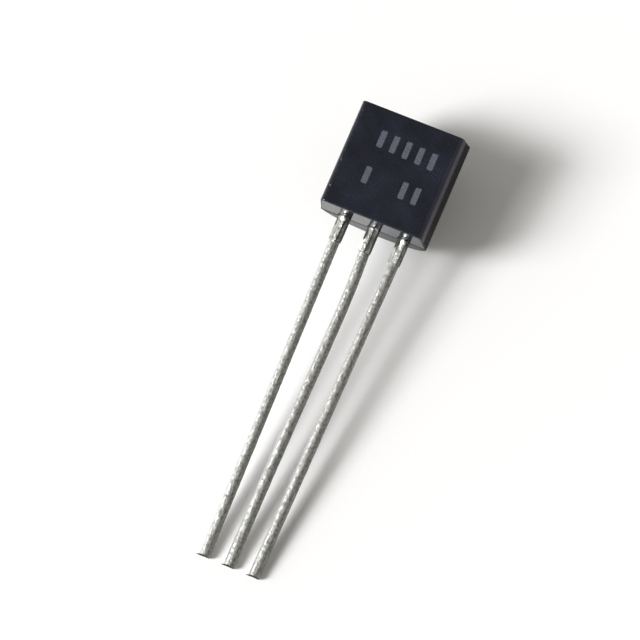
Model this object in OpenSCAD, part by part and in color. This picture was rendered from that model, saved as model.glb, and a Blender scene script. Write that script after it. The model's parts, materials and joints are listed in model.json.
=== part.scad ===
// TO-92 transistor with three long leads, lying as it comes to rest: flat face up,
// on the lower edge of its round back and on the cut ends of its leads.
//
// Each piece is drawn in a working frame with the case level: X across the case,
// Y along the leads with 0 at the face that they leave and the case at +Y,
// Z up from the lowest line of the round back to the flat. lay_down() then tips
// the whole part to its resting place, with the origin under the middle of its box.

/* [Case] */
// Width of the case, at the parting plane
case_w = 4.54; // [4.4:0.02:4.7]
// Height of the case, from the face with the leads to the top
case_h = 4.5; // [4.3:0.05:4.7]
// Depth of the case, from the flat to the round back
case_t = 3.5; // [3.3:0.05:3.7]
// Depth of the parting plane behind the flat, which is the middle of the leads
lead_depth = 1.26; // [1.15:0.01:1.4]
// Draft of the side walls in front of the parting plane, in degrees
side_draft = 7; // [3:0.5:10]
// Draft of both end faces, away from the parting plane, in degrees
end_draft = 4.7; // [2:0.1:7]
// Radius of the edge between the flat and each side wall
edge_r = 0.2; // [0.08:0.02:0.3]
// Diameter of the ejector pin's mark on the round back
mark_d = 1.6; // [1:0.1:2]
// Depth of the ejector pin's mark
mark_depth = 0.18; // [0.16:0.01:0.3]
// Width of the scar that the gate leaves on the top face
gate_w = 0.9; // [0.5:0.1:1.4]
// Thickness of the gate's scar
gate_t = 0.3; // [0.2:0.05:0.5]
// Height that the gate's scar stands proud of the top face
gate_proud = 0.05; // [0.02:0.01:0.1]

/* [Leads] */
// Spacing of the leads where they leave the case
lead_pitch = 1.27; // [1.2:0.01:1.35]
// Length of the leads, from the case to their cut ends
lead_l = 14.45; // [12.5:0.05:15.5]
// Thickness of the metal strip that the leads are stamped from
strip_t = 0.38; // [0.32:0.01:0.45]
// Width of the bare strip beside the case, where the tie bar was sheared away
root_w = 0.48; // [0.44:0.01:0.6]
// Length of that wider stretch outside the case
root_l = 1.0; // [0.6:0.1:2]
// Width of the strip in the long stretch of a lead
lead_w = 0.41; // [0.36:0.01:0.46]
// Thickness of the solder that coats the long stretch
tin_t = 0.012; // [0.005:0.001:0.02]
// Radius of the coated corners
tin_r = 0.12; // [0.05:0.01:0.16]
// Sideways shift of the emitter lead's end, towards the middle
emitter_lean = 0.22; // [0:0.02:0.3]
// Sideways shift of the collector lead's end, towards the middle
collector_lean = 0.21; // [0:0.02:0.3]
// Sideways bow of the base lead, at the middle of its length
base_bow = 0.08; // [0.02:0.02:0.2]

/* [Lead frame in the case] */
// Width of the ears that lock each lead in the case
anchor_w = 0.9; // [0.7:0.05:1]
// Height of the ears' lower edge above the face that the leads leave
anchor_y = 0.55; // [0.4:0.05:0.8]
// Height of the ears themselves
anchor_h = 0.35; // [0.2:0.05:0.45]
// Height of the bond posts' tops
post_top = 1.75; // [1.6:0.05:1.8]
// Width of the bond posts
post_w = 0.72; // [0.6:0.02:0.8]
// Gap between the bond posts and the flag above them
flag_gap = 0.3; // [0.25:0.05:0.5]
// Width of the flag that carries the die
flag_w = 2.5; // [2:0.1:2.8]
// Height of the flag
flag_h = 1.35; // [1:0.05:1.5]
// Diameter of the hole through the flag that locks it in the case
flag_hole_d = 0.45; // [0.3:0.05:0.6]
// Distance of that hole from the flag's right edge
flag_hole_x = 0.5; // [0.4:0.05:0.7]

/* [Die and wires] */
// Side of the square die
die_side = 0.46; // [0.35:0.01:0.6]
// Thickness of the die
die_t = 0.2; // [0.15:0.01:0.25]
// Height of the die's lower edge above the flag's lower edge
die_inset = 0.35; // [0.2:0.05:0.5]
// Border of the attach layer round the die
attach_rim = 0.04; // [0.02:0.01:0.08]
// Thickness of the attach layer
attach_t = 0.02; // [0.01:0.005:0.04]
// Diameter of the bond wires
wire_d = 0.038; // [0.03:0.002:0.05]
// Radius of the bend at the top of a wire's loop
wire_bend_r = 0.12; // [0.08:0.01:0.16]
// Angle at which a wire falls to its post, in degrees
wire_fall = 25; // [22:1:28]
// Diameter of the flattened ball at the die
ball_d = 0.09; // [0.08:0.005:0.11]
// Height of the flattened ball
ball_h = 0.025; // [0.015:0.005:0.04]
// Distance of each ball from the die's middle, across the die
ball_x = 0.11; // [0.08:0.01:0.14]
// Distance of the stitch below the top of a post
stitch_inset = 0.25; // [0.15:0.05:0.35]
// Length of the stitch at the post
stitch_l = 0.08; // [0.06:0.01:0.12]
// Width of the stitch
stitch_w = 0.07; // [0.06:0.01:0.1]

/* [Hidden] */

$fn = 64;
overlap = 0.05;     // how far pieces of one solid run into each other
clear = 1;          // how far a cutting shape runs past what it cuts

// Case
waist = case_w / 2;
lead_z = case_t - lead_depth;
flat_half = waist - lead_depth * tan(side_draft);
back_r = (waist * waist + lead_z * lead_z) / (2 * lead_z);
front_run = lead_depth * tan(end_draft);
back_run = lead_z * tan(end_draft);

// Leads
tinned_w = lead_w + 2 * tin_t;
tinned_t = strip_t + 2 * tin_t;
strip_top = lead_z + strip_t / 2;
leg_l = lead_l - root_l;

// Flag, whose right edge is in line with the collector lead's
flag_right = lead_pitch + root_w / 2;
flag_y = post_top + flag_gap;

// Die and wires
die_x = 0;
die_y = flag_y + die_inset + die_side / 2;
ball_z = strip_top + attach_t + die_t;
ball_y = die_y - die_side / 4;
stitch_y = post_top - stitch_inset;
wire_sides = 8;
wire_bend_steps = 5;

// Resting place: the tilt that brings the back's lower edge and the leads' ends to one level
end_z = lead_z - tinned_t / 2;
rest_tilt = atan(end_z / (lead_l + back_run));
rest_low = turned_z(back_run, 0);
rest_far = max(
    turned_y(case_h - back_run, 0),
    turned_y(case_h, lead_z),
    turned_y(case_h + gate_proud, lead_z - gate_t / 2)
);
rest_near = turned_y(-lead_l, lead_z + tinned_t / 2);

function turned_y(y, z) = y * cos(rest_tilt) - z * sin(rest_tilt);
function turned_z(y, z) = y * sin(rest_tilt) + z * cos(rest_tilt);

module lay_down() {
    translate([0, -(rest_far + rest_near) / 2, -rest_low])
        rotate([rest_tilt, 0, 0])
            children();
}

// Outline of the case seen along the leads: X across, Y up from the back to the flat.
// The round back runs up to the drafted side walls, which it meets at the parting plane.
// Each front edge is rounded by a disc that touches the flat and the side wall.
module case_section() {
    turn = 90 - side_draft;
    disc_x = flat_half - edge_r * tan(turn / 2);
    wall_x = disc_x + edge_r * cos(side_draft);
    wall_y = case_t - edge_r + edge_r * sin(side_draft);
    foot_x = waist + (lead_z + clear) * tan(side_draft);
    intersection() {
        union() {
            translate([0, back_r]) circle(r = back_r);
            translate([-case_w, lead_z + overlap]) square([2 * case_w, case_t]);
        }
        union() {
            polygon([
                [-foot_x, -clear], [foot_x, -clear],
                [wall_x, wall_y], [disc_x, case_t],
                [-disc_x, case_t], [-wall_x, wall_y],
            ]);
            for (side = [-1, 1])
                translate([side * disc_x, case_t - edge_r]) circle(r = edge_r);
        }
    }
}

// Outline of the case seen from the side: X along the leads, Y up from the back to the flat
module case_profile() {
    polygon([
        [back_run, 0], [0, lead_z], [front_run, case_t],
        [case_h - front_run, case_t], [case_h, lead_z], [case_h - back_run, 0],
    ]);
}

module case_blank() {
    intersection() {
        translate([0, case_h + clear, 0])
            rotate([90, 0, 0])
                linear_extrude(case_h + 2 * clear) case_section();
        translate([-case_w, 0, 0])
            rotate([90, 0, 90])
                linear_extrude(2 * case_w) case_profile();
    }
}

module gate_scar() {
    translate([-gate_w / 2, case_h - overlap, lead_z - gate_t / 2])
        cube([gate_w, overlap + gate_proud, gate_t]);
}

module ejector_mark() {
    translate([0, case_h / 2, -clear])
        cylinder(d = mark_d, h = clear + mark_depth);
}

// The compound fills every gap round the metal, the die and the wires
module moulding() {
    difference() {
        union() {
            case_blank();
            gate_scar();
        }
        ejector_mark();
        emitter_metal();
        base_metal();
        collector_metal();
        attach_layer();
        die_block();
        emitter_loop();
        base_loop();
    }
}

module case() {
    color([0.13, 0.135, 0.17]) lay_down() moulding();
}

// A flat piece of the strip, drawn from above in X and Y
module stamped() {
    translate([0, 0, lead_z - strip_t / 2])
        linear_extrude(strip_t) children();
}

// The straight strip from outside the case up to a height inside it, with its locking ears
module stem_shape(top) {
    translate([-root_w / 2, -root_l]) square([root_w, root_l + top]);
    translate([-anchor_w / 2, anchor_y]) square([anchor_w, anchor_h]);
}

module post_shape() {
    stem_shape(post_top);
    translate([-post_w / 2, anchor_y + anchor_h + flag_gap])
        square([post_w, post_top - anchor_y - anchor_h - flag_gap]);
}

module tinned_section() {
    flat_w = tinned_w - 2 * tin_r;
    flat_t = tinned_t - 2 * tin_r;
    square([tinned_w, flat_t], center = true);
    square([flat_w, tinned_t], center = true);
    for (x = [-1, 1], y = [-1, 1])
        translate([x * flat_w / 2, y * flat_t / 2]) circle(r = tin_r);
}

// The long coated stretch, straight, with its end shifted sideways by lean
module straight_leg(lean) {
    angle = atan(lean / leg_l);
    run = leg_l / cos(angle);
    translate([0, -root_l, lead_z])
        rotate([0, 0, angle])
            translate([0, overlap, 0])
                rotate([90, 0, 0])
                    linear_extrude(run + overlap) tinned_section();
}

// The long coated stretch, bowed sideways by bow at its middle
module bowed_leg(bow) {
    leg_r = (leg_l * leg_l / 4 + bow * bow) / (2 * bow);
    half_angle = asin(leg_l / 2 / leg_r);
    translate([bow - leg_r, -root_l - leg_l / 2, lead_z])
        rotate([0, 0, -half_angle])
            rotate_extrude(angle = 2 * half_angle, $fn = 1440)
                translate([leg_r, 0]) tinned_section();
}

module emitter_metal() {
    translate([-lead_pitch, 0, 0]) {
        stamped() post_shape();
        straight_leg(emitter_lean);
    }
}

module base_metal() {
    stamped() post_shape();
    bowed_leg(base_bow);
}

module collector_metal() {
    translate([lead_pitch, 0, 0]) {
        stamped() stem_shape(flag_y + overlap);
        straight_leg(-collector_lean);
    }
    stamped()
        difference() {
            translate([flag_right - flag_w, flag_y]) square([flag_w, flag_h]);
            translate([flag_right - flag_hole_x, flag_y + flag_h / 2]) circle(d = flag_hole_d);
        }
}

module emitter_lead() {
    color([0.72, 0.72, 0.7]) lay_down() emitter_metal();
}

module base_lead() {
    color([0.72, 0.72, 0.7]) lay_down() base_metal();
}

module collector_lead() {
    color([0.72, 0.72, 0.7]) lay_down() collector_metal();
}

module attach_layer() {
    side = die_side + 2 * attach_rim;
    translate([die_x - side / 2, die_y - side / 2, strip_top])
        cube([side, side, attach_t]);
}

module die_attach() {
    color([0.6, 0.6, 0.62]) lay_down() attach_layer();
}

module die_block() {
    translate([die_x - die_side / 2, die_y - die_side / 2, strip_top + attach_t])
        cube([die_side, die_side, die_t]);
}

module silicon_die() {
    color([0.3, 0.32, 0.36]) lay_down() die_block();
}

// The loop of a bond wire, seen from the side with X towards the post and Y up from the
// strip: it rises from the die, bends over and falls straight. Each entry is a point on
// the wire and the wire's slope there, in degrees.
function loop_points(span) =
    let (
        foot = wire_d / 2 * cos(wire_fall),
        fall_run = span - wire_bend_r * (1 + sin(wire_fall)),
        bend_y = foot + fall_run * tan(wire_fall) - wire_bend_r * cos(wire_fall),
        turn = 90 + wire_fall
    )
    concat(
        [[[0, ball_z - strip_top], 90]],
        [
            for (i = [0:wire_bend_steps])
                let (a = 180 - turn * i / wire_bend_steps)
                [[wire_bend_r * (1 + cos(a)), bend_y + wire_bend_r * sin(a)], a - 90]
        ],
        [[[span, foot], -wire_fall]]
    );

// A round tube along such a loop
module wire_tube(loop) {
    n = wire_sides;
    last = len(loop) - 1;
    points = [
        for (station = loop)
            let (centre = station[0], slope = station[1])
            for (j = [0:n - 1])
                let (out = wire_d / 2 * cos(360 * j / n))
                [centre.x - out * sin(slope), centre.y + out * cos(slope), wire_d / 2 * sin(360 * j / n)]
    ];
    walls = [
        for (i = [0:last - 1], j = [0:n - 1])
            let (k = (j + 1) % n)
            [i * n + j, i * n + k, (i + 1) * n + k, (i + 1) * n + j]
    ];
    first_end = [for (j = [n - 1:-1:0]) j];
    last_end = [for (j = [0:n - 1]) last * n + j];
    polyhedron(points, concat([first_end], walls, [last_end]));
}

// A bond wire from the flattened ball on the die to the stitch on a post
module bond_wire(from_x, to_x) {
    span = norm([to_x - from_x, stitch_y - ball_y]);
    translate([from_x, ball_y, strip_top])
        rotate([0, 0, atan2(stitch_y - ball_y, to_x - from_x)])
            rotate([90, 0, 0]) {
                translate([0, ball_z - strip_top, 0])
                    rotate([-90, 0, 0])
                        cylinder(d = ball_d, h = ball_h);
                wire_tube(loop_points(span));
                translate([span - stitch_l / 2, 0, -stitch_w / 2])
                    cube([stitch_l, wire_d, stitch_w]);
            }
}

module emitter_loop() {
    bond_wire(die_x - ball_x, -lead_pitch);
}

module base_loop() {
    bond_wire(die_x + ball_x, 0);
}

module emitter_wire() {
    color([0.9, 0.72, 0.3]) lay_down() emitter_loop();
}

module base_wire() {
    color([0.9, 0.72, 0.3]) lay_down() base_loop();
}

case();
emitter_lead();
base_lead();
collector_lead();
die_attach();
silicon_die();
emitter_wire();
base_wire();
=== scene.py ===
"""Looks of a TO-92 transistor that lies on a white table, flat face up.

The shapes are made in the part's level working frame, in millimetres: X across the case, Y along
the leads with 0 at the face that they leave and the case at +Y, Z up from the lowest line of the
round back to the flat. LevelFrame turns them to the place where the part rests, in metres.
"""

import json
import logging
import math
from contextlib import contextmanager
from dataclasses import dataclass
from enum import Enum
from functools import partial
from typing import Any, Iterable, Iterator, Sequence

import bmesh
import bpy
import numpy as np
from mathutils import Matrix, Vector, noise

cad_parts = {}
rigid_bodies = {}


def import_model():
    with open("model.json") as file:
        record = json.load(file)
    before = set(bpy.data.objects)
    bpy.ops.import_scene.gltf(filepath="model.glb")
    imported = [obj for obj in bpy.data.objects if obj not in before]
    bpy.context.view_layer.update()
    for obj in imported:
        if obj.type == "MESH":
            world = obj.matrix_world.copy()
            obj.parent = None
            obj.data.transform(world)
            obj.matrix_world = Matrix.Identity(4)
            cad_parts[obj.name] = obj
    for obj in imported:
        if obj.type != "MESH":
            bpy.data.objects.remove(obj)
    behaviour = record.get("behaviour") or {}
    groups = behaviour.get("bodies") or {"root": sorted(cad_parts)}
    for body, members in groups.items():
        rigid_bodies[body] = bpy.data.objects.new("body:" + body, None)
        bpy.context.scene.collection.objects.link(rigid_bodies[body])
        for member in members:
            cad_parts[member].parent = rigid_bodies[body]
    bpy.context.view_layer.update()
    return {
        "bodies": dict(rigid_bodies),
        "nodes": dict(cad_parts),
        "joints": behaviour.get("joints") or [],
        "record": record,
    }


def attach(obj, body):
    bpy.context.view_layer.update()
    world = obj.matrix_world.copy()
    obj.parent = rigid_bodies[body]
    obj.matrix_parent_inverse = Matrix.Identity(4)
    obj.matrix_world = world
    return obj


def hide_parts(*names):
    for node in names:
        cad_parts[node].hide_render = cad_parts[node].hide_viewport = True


log = logging.getLogger("transistor")

BODY = "root"
MM = 0.001
QUARTER = math.pi / 2
# The attribute that holds a lead's distance from its own middle line, in millimetres
ACROSS = "across"

# Short names for types that many signatures use
Piece = bpy.types.Object
Material = bpy.types.Material
Tree = bpy.types.NodeTree
Socket = bpy.types.NodeSocket
Triple = tuple[float, float, float]
Span = tuple[float, float]


class Slot(Enum):
    """The record's material slots of the pieces made here."""

    COMPOUND = "moulding_compound"
    LEAD = "tinned_lead"


class Skin(Enum):
    """The finishes of the case, each named for how its part of the mould was made, apart from the edge
    with the painted reflection.
    """

    ERODED = "sides and round back"
    REFLECTING_EDGE = "edge of the flat on the collector's side, rubbed in handling"
    LAPPED = "flat and its edges"
    POLISHED = "front half of both end faces"
    BLASTED = "back half of both end faces"
    ETCHED = "laser marks"


class Metal(Enum):
    """The finishes of the leads, each named for how the metal was worked."""

    DIPPED = "leg that was dipped in solder"
    BEADED = "bead that the climbed solder ends in"
    BARE = "strip beside the case and inside it"
    CLIMBED = "strip whose left edge the solder climbed"
    SHEARED = "cut end and its burr"
    STAMPED = "side faces of the strip"


# Small helpers


def linear(colour: str) -> tuple[float, float, float, float]:
    """Turns an sRGB hex colour to a linear one.

    Args:
        colour: Six hex digits, such as "2a2c33".

    Returns:
        Red, green and blue from 0 to 1, and an alpha of 1.
    """
    parts = [int(colour[i : i + 2], 16) / 255 for i in (0, 2, 4)]
    low, high = 12.92, 1.055
    done = [c / low if c <= 0.04045 else ((c + 0.055) / high) ** 2.4 for c in parts]
    return (done[0], done[1], done[2], 1.0)


def add_node(
    tree: Tree, kind: str, inputs: Any = (), output: str | None = None, **settings: Any
) -> Any:
    """Adds a node with its settings, values and links.

    Args:
        tree: The tree that gets the node.
        kind: The node's type name.
        inputs: A value, or an output to link from, for each input: a list of them in order, or a
            dictionary by the input's identifier, name or number.
        output: The name of the output that is wanted.
        settings: The node's own properties.

    Returns:
        The wanted output, or else the first that is in use, or None if the node has none.
    """
    node = tree.nodes.new(kind)
    for name, value in settings.items():
        setattr(node, name, value)
    given = inputs if isinstance(inputs, dict) else dict(enumerate(inputs))
    for key, value in given.items():
        if isinstance(key, int):
            socket = node.inputs[key]
        else:
            socket = [s for s in node.inputs if s.enabled and key in (s.identifier, s.name)][0]
        if isinstance(value, Socket):
            tree.links.new(value, socket)
        else:
            socket.default_value = value
    wanted = [s for s in node.outputs if s.enabled and output in (None, s.name)]
    return wanted[0] if wanted else None


def link_piece(name: str, mesh: bpy.types.Mesh) -> Piece:
    """Puts a mesh into the scene.

    Args:
        name: The object's name.
        mesh: The mesh.

    Returns:
        The object.
    """
    piece = bpy.data.objects.new(name, mesh)
    bpy.context.scene.collection.objects.link(piece)
    return piece


def plain_copy(piece: Piece, name: str) -> Piece:
    """Makes a plain mesh object of a piece with its modifiers applied, and removes the piece.

    Args:
        piece: An object with live modifiers.
        name: The name of the new object.

    Returns:
        The new object, without modifiers.
    """
    bpy.context.view_layer.update()
    graph = bpy.context.evaluated_depsgraph_get()
    mesh = bpy.data.meshes.new_from_object(
        piece.evaluated_get(graph), preserve_all_data_layers=True, depsgraph=graph
    )
    bpy.data.objects.remove(piece, do_unlink=True)
    mesh.name = name
    return link_piece(name, mesh)


def mesh_object(
    name: str,
    points: Iterable[Sequence[float]],
    faces: Iterable[Sequence[int]],
    material: Material | None = None,
) -> Piece:
    """Makes a mesh object from points and faces.

    Args:
        name: The object's name.
        points: The points, in millimetres in the level frame.
        faces: The faces, as numbers of points.
        material: The material of all its faces.

    Returns:
        The object.
    """
    mesh = bpy.data.meshes.new(name)
    mesh.from_pydata([tuple(map(float, p)) for p in points], [], [tuple(f) for f in faces])
    mesh.validate()
    if material is not None:
        mesh.materials.append(material)
    return link_piece(name, mesh)


@contextmanager
def edited(mesh: bpy.types.Mesh) -> Iterator[bmesh.types.BMesh]:
    """Opens a mesh for edits, and writes them back at the end.

    Args:
        mesh: The mesh.

    Yields:
        Its editable shape.
    """
    shape = bmesh.new()
    shape.from_mesh(mesh)
    yield shape
    shape.to_mesh(mesh)
    shape.free()


def drop_folds(piece: Piece) -> None:
    """Removes pairs of faces on the same points, which joining nearly flush faces can leave.

    Args:
        piece: The solid.
    """
    with edited(piece.data) as shape:
        single: dict[frozenset[bmesh.types.BMVert], bmesh.types.BMFace] = {}
        folds = []
        for face in shape.faces:
            twin = single.pop(frozenset(face.verts), None)
            if twin is None:
                single[frozenset(face.verts)] = face
            else:
                folds += [face, twin]
        bmesh.ops.delete(shape, geom=folds, context="FACES")


def combine(base: Piece, others: Iterable[Piece], operation: str) -> Piece:
    """Joins others to a solid, or cuts them from it, and removes them.

    Args:
        base: The solid that is changed.
        others: The solids that are joined or cut away, one after the other.
        operation: UNION, DIFFERENCE or INTERSECT.

    Returns:
        The new solid, which takes over each operand's material.
    """
    for other in others:
        cut = base.modifiers.new("cut", "BOOLEAN")
        cut.operation = operation
        cut.solver = "MANIFOLD"
        cut.material_mode = "TRANSFER"
        cut.object = other
        base = plain_copy(base, base.name)
        bpy.data.objects.remove(other, do_unlink=True)
    drop_folds(base)
    return base


def smooth(piece: Piece, angle: float = 32.0) -> None:
    """Shades a piece smooth, apart from edges sharper than an angle in degrees."""
    piece.data.shade_smooth()
    piece.data.set_sharp_from_angle(angle=math.radians(angle))


# Meshes from rings of points


def arc(middle: Span, radius: float, start: float, end: float, steps: int) -> list[Span]:
    """Gives points on an arc.

    Args:
        middle: The arc's middle.
        radius: Its radius.
        start: The angle of its first point, in radians.
        end: The angle of its last point.
        steps: How many steps lead from the first point to the last.

    Returns:
        The points.
    """
    angles = [start + (end - start) * i / steps for i in range(steps + 1)]
    return [(middle[0] + radius * math.cos(a), middle[1] + radius * math.sin(a)) for a in angles]


def tube_faces(rings: int, count: int) -> list[list[int]]:
    """Gives the faces of a tube through closed rings.

    Args:
        rings: How many rings there are.
        count: How many points a ring has.

    Returns:
        The faces, as numbers of points.
    """
    faces = []
    for r in range(rings - 1):
        low, high = r * count, (r + 1) * count
        for i in range(count):
            j = (i + 1) % count
            faces.append([low + i, high + i, high + j, low + j])
    return faces


def face_outwards(solid: Piece) -> None:
    """Turns a closed mesh's faces outwards."""
    with edited(solid.data) as shape:
        bmesh.ops.recalc_face_normals(shape, faces=shape.faces)


def loft(name: str, rings: Sequence[Sequence[Triple]], material: Material) -> Piece:
    """Makes a closed tube through rings of equal length, with flat ends.

    Args:
        name: The object's name.
        rings: The rings, each with its points in order.
        material: The material.

    Returns:
        The solid, with its faces outwards.
    """
    count = len(rings[0])
    last = (len(rings) - 1) * count
    faces = tube_faces(len(rings), count)
    faces += [list(range(count)), [last + i for i in reversed(range(count))]]
    solid = mesh_object(name, [p for ring in rings for p in ring], faces, material)
    face_outwards(solid)
    return solid


# Frame and sizes


class LevelFrame:
    """The level working frame of the part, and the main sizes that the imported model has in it.

    Its directions come from the mounts: the flat's own axis is up, and the middle lead's axis is
    down the leads. Its height zero is the lowest line of the case's round back.
    """

    def __init__(self, frame: dict[str, Any]) -> None:
        """Reads the frame.
        """
        self.nodes: dict[str, Piece] = frame["nodes"]
        mounts = {m["name"]: m for m in frame["record"]["mounts"]}
        up = Vector(mounts["flat_front"]["axis"]).normalized()
        along = -Vector(mounts["base_pin"]["axis"]).normalized()
        turn = Matrix((along.cross(up), along, up)).transposed()
        exit_place = Vector(mounts["base_pin"]["pos_m"])
        self.to_rest = Matrix.Translation(exit_place) @ turn.to_4x4() @ Matrix.Scale(MM, 4)
        case_start = self.box("case")[0]
        self.to_rest = self.to_rest @ Matrix.Translation((0, case_start.y, case_start.z))
        flat = self.to_level @ Vector(mounts["flat_front"]["pos_m"])
        pins = [Vector(mounts[name + "_pin"]["pos_m"]) for name in ("emitter", "collector")]
        case_low, case_high = self.box("case")
        self.case_w = case_high.x - case_low.x
        self.case_h = 2 * flat.y
        self.case_t = flat.z
        self.lead_z = (self.to_level @ exit_place).z
        self.lead_pitch = (pins[1] - pins[0]).length / 2 / MM
        self.lead_l = -self.box("base_lead")[0].y

    @property
    def to_level(self) -> Matrix:
        """The way from where the part rests, in metres, to the level frame, in millimetres."""
        return self.to_rest.inverted()

    def box(self, node: str) -> tuple[Vector, Vector]:
        """Gives a CAD node's box in the level frame.

        Args:
            node: The node's name.

        Returns:
            Its lowest and highest corner, in millimetres.
        """
        to_level = self.to_level
        points = np.array([to_level @ v.co for v in self.nodes[node].data.vertices])
        return Vector(points.min(0)), Vector(points.max(0))

    def level_copy(self, node: str, material: Material) -> Piece:
        """Makes a merged copy of a CAD node in the level frame, for cutting or joining.

        Args:
            node: The node's name.
            material: The material of the copy.

        Returns:
            The copy, in millimetres.
        """
        mesh = self.nodes[node].data.copy()
        mesh.transform(self.to_level)
        with edited(mesh) as shape:
            bmesh.ops.remove_doubles(shape, verts=shape.verts, dist=0.0002)
        mesh.materials.clear()
        mesh.materials.append(material)
        return link_piece(node + "_level", mesh)

    def hand_over(self, piece: Piece, node: str, slot: Slot) -> None:
        """Turns a finished piece to where the part rests, ties it to the part's body and hides the CAD
        node that it stands for.

        Args:
            piece: The piece in the level frame.
            node: The CAD node that it stands for.
            slot: Not used.
        """
        piece.data.transform(self.to_rest)
        piece.data.update()
        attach(piece, BODY)
        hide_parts(node)
        log.info("%s: %d faces", piece.name, len(piece.data.polygons))

    def level_coordinates(self, tree: Tree) -> Socket:
        """Adds nodes that give a material its place in the level frame, in millimetres.

        Args:
            tree: The material's tree.

        Returns:
            The output with the coordinates.
        """
        place, turn, scale = self.to_level.decompose()
        inputs = {"Location": place, "Rotation": turn.to_euler(), "Scale": scale}
        inputs["Vector"] = add_node(tree, "ShaderNodeTexCoord", output="Object")
        return add_node(tree, "ShaderNodeMapping", inputs, vector_type="POINT")


# Finishes


@dataclass(frozen=True)
class Grain:
    """A noise whose grains have a real size along X, Y and Z, in millimetres.

    Its result is 0 where the noise is `low` or less, and 1 where it is `high` or more.
    """

    size: Triple
    low: float = 0.35
    high: float = 0.65
    detail: float = 2.0
    fine_share: float = 0.55

    def draw(self, tree: Tree, place: Socket) -> Socket:
        """Adds the noise to a material.

        Args:
            tree: The material's tree.
            place: The coordinates, in millimetres.

        Returns:
            The output with a value from 0 to 1.
        """
        inputs = {"Vector": place, "Scale": tuple(1 / s for s in self.size)}
        scaled = add_node(tree, "ShaderNodeMapping", inputs, vector_type="POINT")
        inputs = {"Vector": scaled, "Scale": 1.0, "Detail": self.detail}
        inputs["Roughness"] = self.fine_share
        cloud = add_node(tree, "ShaderNodeTexNoise", inputs)
        return add_node(tree, "ShaderNodeMapRange", [cloud, self.low, self.high])


@dataclass(frozen=True)
class Finish:
    """What the finishes have in common: a colour with patches of another, a gloss and a relief."""

    name: str
    colour: str
    patch_colour: str
    patches: Grain
    # The relief's own pattern, or None where the patches are also the relief
    relief: Grain | None = None
    relief_depth: float = 0.0
    # The roughness in the hollows and on the heights, or outside the patches and in them
    roughness: Span = (0.5, 0.5)
    dull_patches: bool = False
    metallic: float = 0.0
    specular: float = 0.5
    ior: float = 1.5

    def patch_share(self, tree: Tree, place: Socket) -> Socket:
        """Gives how far the patches cover a place."""
        return self.patches.draw(tree, place)

    def overlays(self, tree: Tree, place: Socket) -> list[tuple[Socket, str]]:
        """Gives the share and the colour of each layer over the patches. Most have none."""
        return []

    def make(self, level: LevelFrame) -> Material:
        """Makes the material.

        Args:
            level: The frame that its patterns lie in.

        Returns:
            The material.
        """
        material = bpy.data.materials.new(self.name)
        material.use_nodes = True
        tree = material.node_tree
        tree.nodes.clear()
        place = level.level_coordinates(tree)
        patches = self.patch_share(tree, place)
        height = self.relief.draw(tree, place) if self.relief else patches
        base = linear(self.colour)
        for share, colour in [(patches, self.patch_colour), *self.overlays(tree, place)]:
            inputs = {"Factor_Float": share, "A_Color": base, "B_Color": linear(colour)}
            base = add_node(tree, "ShaderNodeMix", inputs, data_type="RGBA")
        coat = {"Base Color": base, "Metallic": self.metallic, "IOR": self.ior}
        coat["Specular IOR Level"] = self.specular
        coat["Roughness"] = self.roughness[0]
        if self.roughness[0] != self.roughness[1]:
            gloss = patches if self.dull_patches else height
            coat["Roughness"] = add_node(tree, "ShaderNodeMapRange", [gloss, 0, 1, *self.roughness])
        if self.relief_depth:
            inputs = {"Height": height, "Strength": 1.0, "Distance": self.relief_depth * MM}
            coat["Normal"] = add_node(tree, "ShaderNodeBump", inputs)
        surface = add_node(tree, "ShaderNodeBsdfPrincipled", coat)
        add_node(tree, "ShaderNodeOutputMaterial", {"Surface": surface})
        return material


@dataclass(frozen=True)
class MouldedEpoxy(Finish):
    """Black epoxy moulding compound with its silica filler.

    Nearly black with a faint blue cast. A spark-eroded mould leaves an even matt skin of fine
    pits on it, and a polished one a smooth gloss that mirrors the table at a low angle.
    """

    colour: str = "12151e"
    patch_colour: str = "1a1e2b"
    patches: Grain = Grain((1.1, 1.1, 1.1))
    relief: Grain = Grain((0.06, 0.06, 0.06), 0.3, 0.7, 1.0)
    relief_depth: float = 0.001
    roughness: Span = (0.2, 0.3)


@dataclass(frozen=True)
class LaserEtch(Finish):
    """Epoxy whose skin a marking laser has burnt away, line beside line.

    The bared filler is a dull pale grey, striped along the laser's lines.
    """

    colour: str = "43454f"
    patch_colour: str = "6c6e79"
    patches: Grain = Grain((0.04, 0.04, 0.04))
    roughness: Span = (0.75, 0.75)
    specular: float = 0.2
    line_pitch: float = 0.055
    line_waver: float = 0.6
    line_edge: Span = (0.1, 0.6)

    def patch_share(self, tree: Tree, place: Socket) -> Socket:
        """Gives how far the filler is bared at a place.

        Args:
            tree: The material's tree.
            place: The coordinates, in millimetres.

        Returns:
            The output with the share.
        """
        inputs = {"Vector": place, "Scale": (1 / self.line_pitch,) * 3}
        scaled = add_node(tree, "ShaderNodeMapping", inputs, vector_type="POINT")
        # A wave of this kind repeats every 2 pi / 20 of its coordinate at a scale of 1
        inputs = {"Vector": scaled, "Scale": math.pi / 10, "Distortion": self.line_waver}
        lines = add_node(tree, "ShaderNodeTexWave", inputs, "Fac", bands_direction="Y")
        bared = add_node(tree, "ShaderNodeMapRange", [lines, *self.line_edge])
        grit = self.patches.draw(tree, place)
        return add_node(tree, "ShaderNodeMath", [bared, grit], operation="MULTIPLY")


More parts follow.
